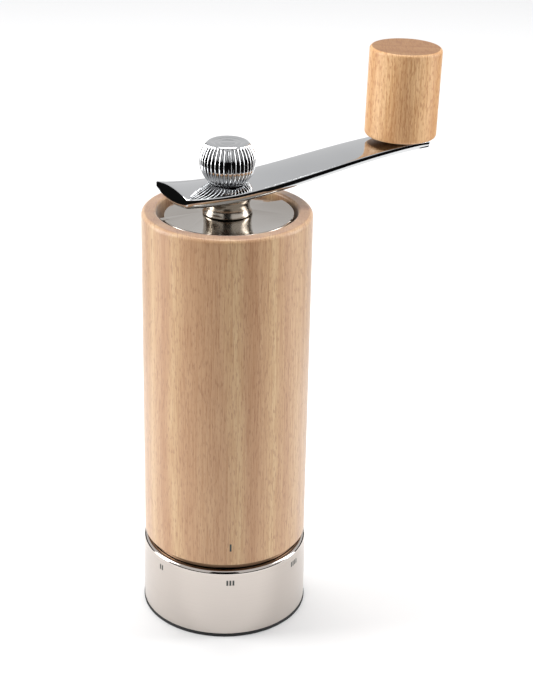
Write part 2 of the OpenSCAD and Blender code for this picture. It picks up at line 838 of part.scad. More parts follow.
module handle_knob() {
    color("peru") at_handle() rotate_extrude() difference() {
        translate([0, handle_z0]) square([handle_r, handle_h]);
        translate([-1, handle_z0 - 1]) square([handle_bush_r + fit + 1, handle_bore_h + 1]);
        corner_waste(handle_r, handle_z0 + handle_h, handle_round);
        translate([0, 2 * handle_z0 + handle_h]) mirror([0, 1])
            corner_waste(handle_r, handle_z0 + handle_h, handle_round);
    }
}

module handle_bush() {
    color("white") at_handle()
        tube(handle_bush_r, bolt_r + fit, handle_z0, handle_clip_z - 0.2);
}

// ---- Output ----

wood_body();
collar_ring();
burr_housing();
housing_screws();
retaining_ring();
retaining_screws();
detent_ball();
detent_spring();
mid_bridge();
mid_bush();
lid_plate();
hub_bush();
lid_shutter();
ring_sleeve();
ring_core();
adjust_nut();
nut_clip();
grounds_cup();
foot_pad();
stator_carrier();
stator_burr();
stator_screws();
drive_shaft();
shaft_clip();
rotor_burr();
rotor_washer();
rotor_screw();
drive_collar();
crank_arm();
ball_knob();
handle_bolt();
handle_washer();
handle_clip();
handle_knob();
handle_bush();
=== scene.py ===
import json
import math

import bmesh
import bpy
from mathutils import Matrix, Vector


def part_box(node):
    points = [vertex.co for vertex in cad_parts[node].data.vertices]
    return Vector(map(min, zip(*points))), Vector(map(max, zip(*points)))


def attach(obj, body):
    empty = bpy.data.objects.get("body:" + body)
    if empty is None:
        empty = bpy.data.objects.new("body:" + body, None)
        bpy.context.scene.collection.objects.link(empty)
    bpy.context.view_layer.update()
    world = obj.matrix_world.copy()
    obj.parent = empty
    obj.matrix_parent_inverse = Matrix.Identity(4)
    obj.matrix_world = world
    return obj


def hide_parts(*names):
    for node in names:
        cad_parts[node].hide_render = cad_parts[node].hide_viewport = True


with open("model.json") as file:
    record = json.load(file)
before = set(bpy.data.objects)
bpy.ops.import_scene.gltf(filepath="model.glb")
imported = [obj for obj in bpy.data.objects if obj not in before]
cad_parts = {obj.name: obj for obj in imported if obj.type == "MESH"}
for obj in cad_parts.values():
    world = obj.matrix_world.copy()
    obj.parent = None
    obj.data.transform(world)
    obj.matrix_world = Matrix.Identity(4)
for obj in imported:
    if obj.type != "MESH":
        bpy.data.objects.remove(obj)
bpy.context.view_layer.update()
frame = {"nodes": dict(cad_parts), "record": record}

mm = 0.001
tau = 2 * math.pi
scene = bpy.context.scene
slotOf = {part["node"]: part["material_slot"] for part in frame["record"]["subparts"]}
bodyOf = {
    node: body
    for body, nodes in frame["record"]["behaviour"]["bodies"].items()
    for node in nodes
}


def toLinear(hexColor):
    channels = [int(hexColor[i:i + 2], 16) / 255 for i in (0, 2, 4)]
    return [c / 12.92 if c <= 0.04045 else ((c + 0.055) / 1.055) ** 2.4 for c in channels] + [1]


def addNode(tree, kind, inputs=None, stops=(), **settings):
    # an input is a value or another node's output; stops are a color ramp's places and hex colours;
    # a colour mix has its two colours at inputs 6 and 7 and its result at output 2
    node = tree.nodes.new(kind)
    for name, value in settings.items():
        setattr(node, name, value)
    for key, value in (inputs or {}).items():
        if hasattr(value, "is_output"):
            tree.links.new(value, node.inputs[key])
        else:
            node.inputs[key].default_value = value
    for index, (place, hexColor) in enumerate(stops):
        elements = node.color_ramp.elements
        element = elements[index] if index < len(elements) else elements.new(place)
        element.position = place
        element.color = toLinear(hexColor)
    return node


def newMaterial(name, surface):
    # surface holds what is the same all over; what varies is linked afterwards
    material = bpy.data.materials.new(name)
    material.use_nodes = True
    tree = material.node_tree
    tree.nodes.clear()
    shader = addNode(tree, "ShaderNodeBsdfPrincipled", surface)
    addNode(tree, "ShaderNodeOutputMaterial", {"Surface": shader.outputs["BSDF"]})
    place = addNode(tree, "ShaderNodeTexCoord").outputs["Object"]
    return material, tree, shader, place


print("stage: materials")


# Beech, turned, sanded along the grain and oiled: pale and straight grained, with slow tone bands
# from its year rings, short brown lenses where the rays end, and a soft sheen at its sides.
def beech(name, look):
    material, tree, shader, place = newMaterial(name, {
        "IOR": 1.5,
        "Specular IOR Level": look["specular"],
        "Sheen Weight": look["sheen"],
        "Sheen Roughness": 0.5,
    })
    # rings round a pith that stands far behind and leans, bent a little by slow sway
    sway = addNode(tree, "ShaderNodeTexNoise", {
        "Vector": addNode(tree, "ShaderNodeMapping", {
            "Vector": place,
            "Scale": [1 / (size * mm) for size in (55, 55, 170)],
        }).outputs["Vector"],
        "Scale": 1.0, "Detail": 1.0,
    })
    bent = addNode(tree, "ShaderNodeVectorMath", {
        0: sway.outputs["Color"], 1: [look["sway"] * mm] * 3, 2: place,
    }, operation="MULTIPLY_ADD")
    fromPith = addNode(tree, "ShaderNodeMapping", {
        "Vector": bent.outputs[0],
        "Location": [value * mm for value in look["pith"]],
        "Rotation": look["lean"],
        "Scale": (1, 1, 0),
    })
    radius = addNode(tree, "ShaderNodeVectorMath", {0: fromPith.outputs[0]}, operation="LENGTH")
    year = addNode(tree, "ShaderNodeTexNoise", {
        "W": addNode(tree, "ShaderNodeMath", {0: radius.outputs["Value"], 1: look["ringWidth"] * mm},
                     operation="DIVIDE").outputs[0],
        "Scale": 1.0, "Detail": 3.0, "Roughness": 0.6,
    }, noise_dimensions="1D")
    rings = addNode(tree, "ShaderNodeValToRGB", {"Fac": year.outputs["Fac"]},
                    stops=look["tones"])
    # fine fibre along the grain
    fibre = addNode(tree, "ShaderNodeTexNoise", {
        "Vector": addNode(tree, "ShaderNodeMapping", {
            "Vector": place,
            "Scale": [1 / (size * mm) for size in look["fibreSize"]],
        }).outputs["Vector"],
        "Scale": 1.0, "Detail": 3.0, "Roughness": 0.65,
    })
    fibreTone = addNode(tree, "ShaderNodeValToRGB", {"Fac": fibre.outputs["Fac"]},
                        stops=[(0.34, look["fibre"]), (0.58, "ffffff")])
    grained = addNode(tree, "ShaderNodeMix", {
        0: 1.0, 6: rings.outputs["Color"], 7: fibreTone.outputs["Color"],
    }, data_type="RGBA", blend_type="MULTIPLY")
    # a ray is a thin plate: narrow across, long towards the pith, a few millimetres along the grain
    rays = addNode(tree, "ShaderNodeTexNoise", {
        "Vector": addNode(tree, "ShaderNodeMapping", {
            "Vector": place,
            "Rotation": look["lean"],
            "Scale": [1 / (size * mm) for size in look["raySize"]],
        }).outputs["Vector"],
        "Scale": 1.0, "Detail": 1.0, "Roughness": 0.4,
    })
    rayMask = addNode(tree, "ShaderNodeMapRange", {
        "Value": rays.outputs["Fac"],
        "From Min": look["rayFrom"], "From Max": look["rayFrom"] + look["rayFade"],
        "To Max": look["rayStrength"],
    })
    flecked = addNode(tree, "ShaderNodeMix", {
        0: rayMask.outputs["Result"], 6: grained.outputs[2], 7: toLinear(look["ray"]),
    }, data_type="RGBA")
    # end grain drinks more oil than the sides, so the faces that look almost straight up or down
    # are darker
    facing = addNode(tree, "ShaderNodeSeparateXYZ", {
        "Vector": addNode(tree, "ShaderNodeTexCoord").outputs["Normal"]})
    upright = addNode(tree, "ShaderNodeMath", {0: facing.outputs["Z"]}, operation="ABSOLUTE")
    endMask = addNode(tree, "ShaderNodeMapRange", {
        "Value": upright.outputs[0], "From Min": 0.9, "From Max": 0.99})
    oiled = addNode(tree, "ShaderNodeMix", {
        0: endMask.outputs["Result"], 6: flecked.outputs[2],
        7: addNode(tree, "ShaderNodeMix", {0: 1.0, 6: flecked.outputs[2], 7: toLinear(look["endGrain"])},
                   data_type="RGBA", blend_type="MULTIPLY").outputs[2],
    }, data_type="RGBA")
    tree.links.new(oiled.outputs[2], shader.inputs["Base Color"])
    rough = addNode(tree, "ShaderNodeMapRange", {
        "Value": fibre.outputs["Fac"], "From Min": 0.3, "From Max": 0.7,
        "To Min": look["roughness"] + 0.05, "To Max": look["roughness"] - 0.03,
    })
    tree.links.new(rough.outputs["Result"], shader.inputs["Roughness"])
    height = addNode(tree, "ShaderNodeMath", {
        0: rayMask.outputs["Result"], 1: -0.5, 2: fibre.outputs["Fac"],
    }, operation="MULTIPLY_ADD")
    bump = addNode(tree, "ShaderNodeBump", {"Height": height.outputs[0], "Distance": look["bump"] * mm})
    tree.links.new(bump.outputs["Normal"], shader.inputs["Normal"])
    return material


bodyBeech = {
    "tones": [(0.30, "ac8259"), (0.44, "b38c64"), (0.55, "ba966c"), (0.72, "c2a278")],
    "fibre": "e7d7c5", "fibreSize": (0.35, 0.35, 16),  # mm across, across and along
    "ray": "82502a", "rayStrength": 0.42, "rayFrom": 0.565, "rayFade": 0.09,
    "raySize": (0.34, 4.0, 2.6),  # mm across, towards the pith and along
    "pith": (14, 150, 0), "sway": 10, "ringWidth": 5.0, "bump": 0.03,  # mm
    "lean": (math.radians(1.2), math.radians(-0.8), 0.1),
    "roughness": 0.42, "specular": 0.7, "sheen": 0.4,
    "endGrain": "d9cabb",
}
# the handle comes from a redder board with closer rays; its tones are also painted lighter, as painted
# light for the stronger front light that falls on it
handleBeech = dict(
    bodyBeech, tones=[(0.30, "c4986a"), (0.44, "cda274"), (0.55, "d3aa7b"), (0.72, "d9b285")],
    fibre="dfcdb9", ray="a0683c", rayStrength=0.5, rayFrom=0.54, raySize=(0.35, 4.0, 2.0),
    pith=(-60, 130, 0), ringWidth=4.0, specular=0.4, sheen=0.0,
    endGrain="b8ab9c",
)


# Metal finished on a lathe or a polishing wheel: its tone hardly varies, and fine level rings and a
# few wipe marks soften what it mirrors. A rounded lip above lipFrom is polished brighter.
def turnedMetal(name, look):
    material, tree, shader, place = newMaterial(name, {"Metallic": 1.0})
    lines = addNode(tree, "ShaderNodeTexNoise", {
        "Vector": addNode(tree, "ShaderNodeMapping", {
            "Vector": place,
            "Scale": [1 / (size * mm) for size in (40, 40, look["ringMm"])],
        }).outputs["Vector"],
        "Scale": 1.0, "Detail": 2.0, "Roughness": 0.6,
    })
    tone = addNode(tree, "ShaderNodeValToRGB", {"Fac": lines.outputs["Fac"]},
                   stops=[(0.3, look["dark"]), (0.7, look["light"])])
    tree.links.new(tone.outputs["Color"], shader.inputs["Base Color"])
    wipes = addNode(tree, "ShaderNodeTexNoise", {
        "Vector": addNode(tree, "ShaderNodeMapping", {
            "Vector": place,
            "Scale": [1 / (size * mm) for size in (16, 16, 9)],
        }).outputs["Vector"],
        "Scale": 1.0, "Detail": 3.0,
    })
    rough = addNode(tree, "ShaderNodeMapRange", {
        "Value": wipes.outputs["Fac"], "From Min": 0.3, "From Max": 0.7,
        "To Min": look["roughness"], "To Max": look["roughness"] + look["scatter"],
    }).outputs["Result"]
    if "lipFrom" in look:
        level = addNode(tree, "ShaderNodeSeparateXYZ", {"Vector": place})
        rough = addNode(tree, "ShaderNodeMapRange", {
            "Value": level.outputs["Z"],
            "From Min": look["lipFrom"] - look["lipFade"], "From Max": look["lipFrom"],
            "To Min": rough, "To Max": look["lipRoughness"],
        }).outputs["Result"]
    tree.links.new(rough, shader.inputs["Roughness"])
    bump = addNode(tree, "ShaderNodeBump", {"Height": lines.outputs["Fac"], "Distance": look["depth"] * mm})
    tree.links.new(bump.outputs["Normal"], shader.inputs["Normal"])
    return material


# Moulded, machined or plated skin: one colour with a slight cloud in it, and a fine grain that
# breaks the shine
def grainedSkin(name, look):
    surface = {"Metallic": look.get("metallic", 0.0)}
    if not surface["Metallic"]:
        surface["IOR"] = look.get("ior", 1.5)
    material, tree, shader, place = newMaterial(name, surface)
    cloud = addNode(tree, "ShaderNodeTexNoise", {"Vector": place, "Scale": 1 / (14 * mm), "Detail": 2.0})
    tone = addNode(tree, "ShaderNodeValToRGB", {"Fac": cloud.outputs["Fac"]},
                   stops=[(0.3, look["dark"]), (0.7, look["light"])])
    tree.links.new(tone.outputs["Color"], shader.inputs["Base Color"])
    grain = addNode(tree, "ShaderNodeTexNoise", {
        "Vector": place, "Scale": 1 / (look["grainMm"] * mm), "Detail": 3.0, "Roughness": 0.6,
    })
    rough = addNode(tree, "ShaderNodeMapRange", {
        "Value": grain.outputs["Fac"], "From Min": 0.3, "From Max": 0.7,
        "To Min": look["roughness"] - 0.05, "To Max": look["roughness"] + 0.06,
    })
    tree.links.new(rough.outputs["Result"], shader.inputs["Roughness"])
    bump = addNode(tree, "ShaderNodeBump", {"Height": grain.outputs["Fac"], "Distance": look["depth"] * mm})
    tree.links.new(bump.outputs["Normal"], shader.inputs["Normal"])
    return material


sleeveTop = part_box("ring_sleeve")[1].z
finishes = {
    "beech_body": beech("beechTurnedOiled", bodyBeech),
    "beech_handle": beech("beechHandleOiled", handleBeech),
    # fine ground stainless with a bright rolled lip: it blurs the table into one soft tone
    "satin_steel": turnedMetal("stainlessGroundSatin", {
        "dark": "cac2bb", "light": "cdc5be", "ringMm": 0.2, "depth": 0.0,
        "roughness": 0.28, "scatter": 0.0,
        "lipFrom": sleeveTop - 1.3 * mm, "lipFade": 0.4 * mm, "lipRoughness": 0.08}),
    # stainless off the polishing wheel mirrors clearly, and wipe marks cloud it here and there
    "polished_steel": turnedMetal("stainlessPolished", {
        "dark": "ada69e", "light": "bbb5ad", "ringMm": 0.8, "depth": 0.0004,
        "roughness": 0.06, "scatter": 0.08}),
    # turned nickel keeps a faint warm tone and level tool rings
    "satin_nickel": turnedMetal("nickelTurnedSatin", {
        "dark": "b3aa9e", "light": "c0b7ab", "ringMm": 0.3, "depth": 0.001,
        "roughness": 0.2, "scatter": 0.05}),
    # ground steel has a close, even line round it that spreads its highlights
    "bright_steel": turnedMetal("steelGround", {
        "dark": "b2b2b2", "light": "c0c0c0", "ringMm": 0.25, "depth": 0.002,
        "roughness": 0.22, "scatter": 0.08}),
    # chrome mirrors the room cleanly, with only hand wipes in its gloss
    "chrome": turnedMetal("chromePlatedPolished", {
        "dark": "c8c9ca", "light": "cfd0d1", "ringMm": 7.0, "depth": 0.0001,
        "roughness": 0.03, "scatter": 0.03}),
    # zinc plating on pressed steel is pale and faintly blotched
    "zinc_steel": grainedSkin("steelZincPlated", {
        "dark": "a9acb0", "light": "bfc2c6", "roughness": 0.34,
        "grainMm": 0.5, "depth": 0.002, "metallic": 1.0}),
    # hardened burrs come out of the oven dark grey with a fine scale
    "burr_steel": grainedSkin("steelCaseHardened", {
        "dark": "4a4a4c", "light": "5c5b5a", "roughness": 0.42,
        "grainMm": 0.3, "depth": 0.004, "metallic": 1.0}),
    # machined brass is warm yellow with a half-bright shine
    "brass": grainedSkin("brassMachined", {
        "dark": "b89245", "light": "cba658", "roughness": 0.28,
        "grainMm": 0.4, "depth": 0.002, "metallic": 1.0}),
    # spark-eroded moulds leave black plastic with a dull, fine grain
    "black_plastic": grainedSkin("absMouldedBlack", {
        "dark": "1b1b1c", "light": "232324", "roughness": 0.45, "grainMm": 0.25, "depth": 0.006}),
    # acetal from a smoother mould is a little slicker and deeper black
    "dark_washer": grainedSkin("acetalMouldedBlack", {
        "dark": "161616", "light": "1d1c1c", "roughness": 0.38,
        "grainMm": 0.3, "depth": 0.003, "ior": 1.48}),
    # nylon without dye is a warm, waxy off-white
    "white_nylon": grainedSkin("nylonMouldedNatural", {
        "dark": "dcd8cc", "light": "e6e2d8", "roughness": 0.42,
        "grainMm": 0.3, "depth": 0.003, "ior": 1.53}),
    # moulded rubber takes the light softly and hardly shines
    "rubber": grainedSkin("rubberMouldedMatt", {
        "dark": "161617", "light": "1e1e1f", "roughness": 0.72,
        "grainMm": 0.35, "depth": 0.01, "ior": 1.52}),
    # the band in the groove is painted dark brown: painted shade of the groove and a painted reflection of
    # the wood wall above it
    "stained_steel": turnedMetal("steelOilStained", {
        "dark": "6a5442", "light": "7a624d", "ringMm": 0.8, "depth": 0.001,
        "roughness": 0.3, "scatter": 0.1}),
    # stoved paint wiped into the cuts of the marks: dark grey, dull, and a little uneven
    "mark_paint": grainedSkin("enamelWipedGrey", {
        "dark": "2c3230", "light": "3a403d", "roughness": 0.5, "grainMm": 0.2, "depth": 0.01}),
}

for nodeName, cadNode in frame["nodes"].items():
    cadNode.data.materials.clear()
    cadNode.data.materials.append(finishes[slotOf[nodeName]])


def newPiece(name, mesh, nodeNames=(), body=None, slotName=None, smoothAngle=35):
    # the last step of a piece: its object, shading, finish, body and the CAD nodes that it stands for
    piece = bpy.data.objects.new(name, mesh)
    scene.collection.objects.link(piece)
    mesh.shade_smooth()
    mesh.set_sharp_from_angle(angle=math.radians(smoothAngle))
    slotName = slotName or slotOf[nodeNames[0]]
    if not mesh.materials:
        mesh.materials.append(finishes[slotName])
    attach(piece, body or bodyOf[nodeNames[0]])
    if nodeNames:
        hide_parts(*nodeNames)
    return piece


def bakedMesh(workObject, name):
    # what the modifiers leave, as a plain mesh; the working object goes
    bpy.context.view_layer.update()
    seen = workObject.evaluated_get(bpy.context.evaluated_depsgraph_get())
    mesh = bpy.data.meshes.new_from_object(seen)
    mesh.name = name
    bpy.data.objects.remove(workObject)
    return mesh


print("stage: bevelled metal and wood")

# What the mould, the wheel or the maker's hand takes off the sharp edges of each piece, in millimetres
edgeBreaks = {
    "crank_arm": 0.34,
    "drive_collar": 0.15,
    "lid_plate": 0.3,
    "lid_shutter": 0.25,
    "foot_pad": 0.2,
    "grounds_cup": 0.25,
    "handle_bolt": 0.15,
    "handle_washer": 0.12,
    "collar_ring": 0.1,
}
bevelLook = {
    "sharpFrom": 38,      # degrees between two faces from which their edge is broken
    "flatBelow": 0.4,     # degrees below which two faces are joined into one first
    "weld": 1e-6,         # metres
    "segments": 4,
}
# The arm is pressed from thick plate: its outline is rounded far more underneath, less at the tip
armLook = {
    "underTail": 1.5,     # mm rounded off underneath, from the short end to the shaft
    "underTip": 1.3,      # mm under the handle
    "underEnd": 1,        # mm past the handle
    "endFrom": 1.06,      # where the end starts, as a share of the reach to the handle
    "seat": 9.3,          # mm round the shaft that stay sharp
    "boltHole": 6.0,      # mm round the handle's bolt that stay sharp
    "uprightFrom": 0.7,   # an edge this steep, rise against length, is a corner and stays sharp
    "underBelow": -0.3,   # an edge is underneath when its faces' upward parts add up to less
}
handlePlace = next(
    Vector(joint["pos_m"])
    for joint in frame["record"]["behaviour"]["joints"]
    if joint["name"] == "handle_spin")
armReach = handlePlace.xy.length
armAlong = handlePlace.xy / armReach


def edgeWidth(edge, edgeBreak, nodeName):
    # how much of an edge is rounded off, in millimetres
    if len(edge.link_faces) != 2 or edge.calc_face_angle() < math.radians(bevelLook["sharpFrom"]):
        return 0
    if nodeName != "crank_arm":
        return edgeBreak
    middle = (edge.verts[0].co + edge.verts[1].co) / 2
    along = middle.xy.dot(armAlong)
    run = edge.verts[1].co - edge.verts[0].co
    atHole = (middle.xy.length < armLook["seat"] * mm
              or (middle.xy - handlePlace.xy).length < armLook["boltHole"] * mm)
    if atHole or abs(run.z) > armLook["uprightFrom"] * run.length:
        return 0
    if sum(face.normal.z for face in edge.link_faces) > armLook["underBelow"]:
        return edgeBreak
    share = max(along / armReach, 0)
    if share > armLook["endFrom"]:
        return armLook["underEnd"]
    share = min(share, 1)
    return armLook["underTail"] * (1 - share) + armLook["underTip"] * share


for nodeName, edgeBreak in edgeBreaks.items():
    work = bpy.data.objects.new(nodeName + "Work", frame["nodes"][nodeName].data.copy())
    scene.collection.objects.link(work)
    shape = bmesh.new()
    shape.from_mesh(work.data)
    bmesh.ops.remove_doubles(shape, verts=shape.verts, dist=bevelLook["weld"])
    bmesh.ops.dissolve_limit(shape, angle_limit=math.radians(bevelLook["flatBelow"]),
                             verts=shape.verts, edges=shape.edges)
    weights = shape.edges.layers.float.new("bevel_weight_edge")
    shape.normal_update()
    widths = [edgeWidth(edge, edgeBreak, nodeName) for edge in shape.edges]
    for edge, width in zip(shape.edges, widths):
        edge[weights] = width / max(widths)
    shape.to_mesh(work.data)
    shape.free()
    bevel = work.modifiers.new("edgeBreak", "BEVEL")
    bevel.width = max(widths) * mm
    bevel.segments = bevelLook["segments"]
    bevel.limit_method = "WEIGHT"
    # a clamp would thin the arm's wide rounding to what its shortest edge allows
    bevel.use_clamp_overlap = nodeName != "crank_arm"
    words = nodeName.split("_")
    pieceName = words[0] + "".join(word.title() for word in words[1:])
    piece = newPiece(pieceName, bakedMesh(work, pieceName), [nodeName])
    if nodeName == "collar_ring":
        # the collar band takes the painted shade and painted wood reflection in place of its polished steel
        piece.data.materials[0] = finishes["stained_steel"]


print("stage: ball knob")

knob = {
    "flutes": 36,
    "fluteDepth": 0.55,      # mm from the crest of a flute to the bottom of its groove
    "ribPower": 0.8,         # below one, it widens the crest and narrows the groove
    "fadeLow": -0.80,        # where the flutes start and end, from the widest level, and how far
    "fadeHigh": 0.66,        # they take to fade, as shares of the ball's radius
    "fadeBand": 0.07,
    "stepsPerFlute": 10,
    "levels": 44,
    "shoulder": 42,          # degrees above the ball's middle where its side turns into the rim
    "rimSteps": 8,
    "dishShare": 0.6,        # radius of the dish against the ball's
    "dishDepth": 0.2,        # mm, as are the next five
    "dishWall": 0.5,         # across the dish's sloping wall
    "dishEase": 0.03,        # how far its two edges are eased
    "grooveTop": 0.25,       # half the width of a turned groove at the dish's floor
    "grooveFoot": 0.1,       # and at its own bottom
    "grooveDepth": 0.1,
    "grooves": (0.8, 0.45),  # where the grooves run, as shares of the dish's radius
}
knobLow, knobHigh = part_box("ball_knob")
knobAxis = (knobLow + knobHigh) / 2
ballRadius = (knobHigh.x - knobLow.x) / 2
# the widest level splits the ball's height as its flat foot and its dished top do
footShare, topShare = 0.835, 0.72
ballMiddle = knobLow.z + ballRadius * footShare


def knobOutline():
    # radius and height from the foot's middle, up round the ball, over the rim and down into the dish
    low = -math.asin(footShare)
    high = math.radians(knob["shoulder"])
    points = [(0.0, knobLow.z)]
    for i in range(knob["levels"] + 1):
        angle = low + (high - low) * i / knob["levels"]
        points.append((ballRadius * math.cos(angle), ballMiddle + ballRadius * math.sin(angle)))
    # a curve from the ball's side to the level rim round the dish
    top = ballMiddle + ballRadius * topShare
    side = points[-1]
    corner = (side[0] - (top - side[1]) * math.tan(high), top)
    rim = ballRadius * knob["dishShare"]
    for i in range(1, knob["rimSteps"] + 1):
        t = i / knob["rimSteps"]
        points.append((
            side[0] * (1 - t) ** 2 + corner[0] * 2 * t * (1 - t) + rim * t * t,
            side[1] * (1 - t) ** 2 + corner[1] * 2 * t * (1 - t) + top * t * t))
    # the dish steps down and has turned grooves in its floor
    floor = top - knob["dishDepth"] * mm
    wall = knob["dishWall"] * mm
    ease = knob["dishEase"] * mm
    points += [(rim - 0.3 * wall, top - ease), (rim - 0.7 * wall, floor + ease), (rim - wall, floor)]
    wide, narrow, deep = knob["grooveTop"], knob["grooveFoot"], knob["grooveDepth"]
    for share in knob["grooves"]:
        for offset, depth in ((wide, 0), (narrow, deep), (-narrow, deep), (-wide, 0)):
            points.append((rim * share + offset * mm, floor - depth * mm))
    points.append((0.0, floor))
    return points


def lathe(points, steps, axis):
    # turns radius and height pairs round an upright axis; ends on the axis close in a fan
    shape = bmesh.new()
    rings = []
    for radius, level in points:
        if radius < 1e-7:
            rings.append([shape.verts.new((axis.x, axis.y, level))])
        else:
            rings.append([
                shape.verts.new((
                    axis.x + radius * math.cos(tau * i / steps),
                    axis.y + radius * math.sin(tau * i / steps),
                    level))
                for i in range(steps)])
    for lower, upper in zip(rings, rings[1:]):
        for i in range(steps):
            corners = [lower[i % len(lower)], lower[(i + 1) % len(lower)],
                       upper[(i + 1) % len(upper)], upper[i % len(upper)]]
            shape.faces.new(list(dict.fromkeys(corners)))
    bmesh.ops.recalc_face_normals(shape, faces=shape.faces)
    mesh = bpy.data.meshes.new("turned")
    shape.to_mesh(mesh)
    shape.free()
    return mesh


def newTree(name, inputs):
    # a Geometry Nodes tree with a mesh in, a mesh out and one named number for each size
    tree = bpy.data.node_groups.new(name, "GeometryNodeTree")
    tree.interface.new_socket("Geometry", in_out="INPUT", socket_type="NodeSocketGeometry")
    for inputName, value in inputs.items():
        kind = "NodeSocketInt" if isinstance(value, int) else "NodeSocketFloat"
        tree.interface.new_socket(inputName, in_out="INPUT", socket_type=kind).default_value = value
    tree.interface.new_socket("Geometry", in_out="OUTPUT", socket_type="NodeSocketGeometry")
    return tree, addNode(tree, "NodeGroupInput")


def runTree(tree, mesh, name, values):
    work = bpy.data.objects.new(name + "Work", mesh)
    scene.collection.objects.link(work)
    modifier = work.modifiers.new(name, "NODES")
    modifier.node_group = tree
    for item in tree.interface.items_tree:
        if item.in_out == "INPUT" and item.name in values:
            modifier[item.identifier] = values[item.name]
    return bakedMesh(work, name)


# Each flute is a convex rib: the skin sinks where the ribs meet, and the sinking fades out
# at the foot and under the rim.
fluteSizes = {
    "Flutes": knob["flutes"], "Depth": knob["fluteDepth"] * mm, "Middle": ballMiddle,
    "Axis X": knobAxis.x, "Axis Y": knobAxis.y,
    "Fade Low": knob["fadeLow"] * ballRadius, "Fade High": knob["fadeHigh"] * ballRadius,
    "Fade": knob["fadeBand"] * ballRadius,
}
fluteTree, fluteIn = newTree("knobFlutes", fluteSizes)
place = addNode(fluteTree, "ShaderNodeSeparateXYZ", {
    "Vector": addNode(fluteTree, "GeometryNodeInputPosition").outputs[0]})
across = addNode(fluteTree, "ShaderNodeMath", {
    0: place.outputs["X"], 1: fluteIn.outputs["Axis X"]}, operation="SUBTRACT")
along = addNode(fluteTree, "ShaderNodeMath", {
    0: place.outputs["Y"], 1: fluteIn.outputs["Axis Y"]}, operation="SUBTRACT")
level = addNode(fluteTree, "ShaderNodeMath", {
    0: place.outputs["Z"], 1: fluteIn.outputs["Middle"]}, operation="SUBTRACT")
turn = addNode(fluteTree, "ShaderNodeMath", {
    0: along.outputs[0], 1: across.outputs[0]}, operation="ARCTAN2")
fluteTurn = addNode(fluteTree, "ShaderNodeMath", {
    0: turn.outputs[0], 1: fluteIn.outputs["Flutes"]}, operation="MULTIPLY")
halfAngle = addNode(fluteTree, "ShaderNodeMath", {0: fluteTurn.outputs[0], 1: 0.5}, operation="MULTIPLY")
crest = addNode(fluteTree, "ShaderNodeMath", {
    0: addNode(fluteTree, "ShaderNodeMath", {0: halfAngle.outputs[0]}, operation="SINE").outputs[0],
}, operation="ABSOLUTE")
rib = addNode(fluteTree, "ShaderNodeMath", {0: crest.outputs[0], 1: knob["ribPower"]}, operation="POWER")
sunk = addNode(fluteTree, "ShaderNodeMath", {0: 1.0, 1: rib.outputs[0]}, operation="SUBTRACT")
fadeLow = addNode(fluteTree, "ShaderNodeMapRange", {
    "Value": level.outputs[0], "From Min": fluteIn.outputs["Fade Low"],
    "From Max": addNode(fluteTree, "ShaderNodeMath", {
        0: fluteIn.outputs["Fade Low"], 1: fluteIn.outputs["Fade"]}, operation="ADD").outputs[0],
})
fadeHigh = addNode(fluteTree, "ShaderNodeMapRange", {
    "Value": level.outputs[0], "From Min": fluteIn.outputs["Fade High"],
    "From Max": addNode(fluteTree, "ShaderNodeMath", {
        0: fluteIn.outputs["Fade High"], 1: fluteIn.outputs["Fade"]}, operation="SUBTRACT").outputs[0],
})
fade = addNode(fluteTree, "ShaderNodeMath", {
    0: fadeLow.outputs[0], 1: fadeHigh.outputs[0]}, operation="MULTIPLY")
depth = addNode(fluteTree, "ShaderNodeMath", {
    0: sunk.outputs[0],
    1: addNode(fluteTree, "ShaderNodeMath", {0: fade.outputs[0], 1: fluteIn.outputs["Depth"]},
               operation="MULTIPLY").outputs[0],
}, operation="MULTIPLY")
inward = addNode(fluteTree, "ShaderNodeVectorMath", {
    0: addNode(fluteTree, "ShaderNodeVectorMath", {
        0: addNode(fluteTree, "ShaderNodeCombineXYZ", {
            "X": across.outputs[0], "Y": along.outputs[0], "Z": level.outputs[0]}).outputs[0],
    }, operation="NORMALIZE").outputs[0],
    "Scale": addNode(fluteTree, "ShaderNodeMath", {
        0: depth.outputs[0], 1: -1.0}, operation="MULTIPLY").outputs[0],
}, operation="SCALE")
moved = addNode(fluteTree, "GeometryNodeSetPosition", {
    "Geometry": fluteIn.outputs["Geometry"], "Offset": inward.outputs[0]})
plain = addNode(fluteTree, "GeometryNodeRealizeInstances", {"Geometry": moved.outputs[0]})
faced = addNode(fluteTree, "GeometryNodeSetMaterial", {
    "Geometry": plain.outputs[0], "Material": finishes["chrome"]})
addNode(fluteTree, "NodeGroupOutput", {"Geometry": faced.outputs[0]})
plainBall = lathe(knobOutline(), knob["flutes"] * knob["stepsPerFlute"], knobAxis)
knobMesh = runTree(fluteTree, plainBall, "ballKnob", fluteSizes)
newPiece("ballKnob", knobMesh, ["ball_knob"], smoothAngle=60)


print("stage: setting marks")

marks = {
    "settings": 6,
    "step": 54,          # degrees from one setting to the next
    "restSetting": 3,    # the setting that stands under the index mark
    "indexAngle": 4.2,   # degrees from the front towards the right
    "barWidth": 0.74,    # mm, as are the sizes after it
    "barHeight": 2.2,
    "barPitch": 1.12,
    "indexHeight": 3.1,
    "cut": 0.2,          # depth of the cuts in the sleeve and the wood
    "fillShare": 0.6,    # thickness of the paint against the cut's depth
    "fillSink": 0.7,     # depth of the paint's middle against the cut's depth
    "below": 4.9,        # from the sleeve's top down to the middle of its marks
    "above": 7.2,        # from the wood's foot up to the middle of the index mark
}
markSizes = {
    "Bars": 1, "Radius": 0.03, "Level": 0.02, "Start": 0.0, "Step": 0.0, "Pitch": 0.0,
    "Width": marks["barWidth"] * mm, "Height": marks["barHeight"] * mm, "Cut": marks["cut"] * mm,
}
markTree, markIn = newTree("markFills", markSizes)
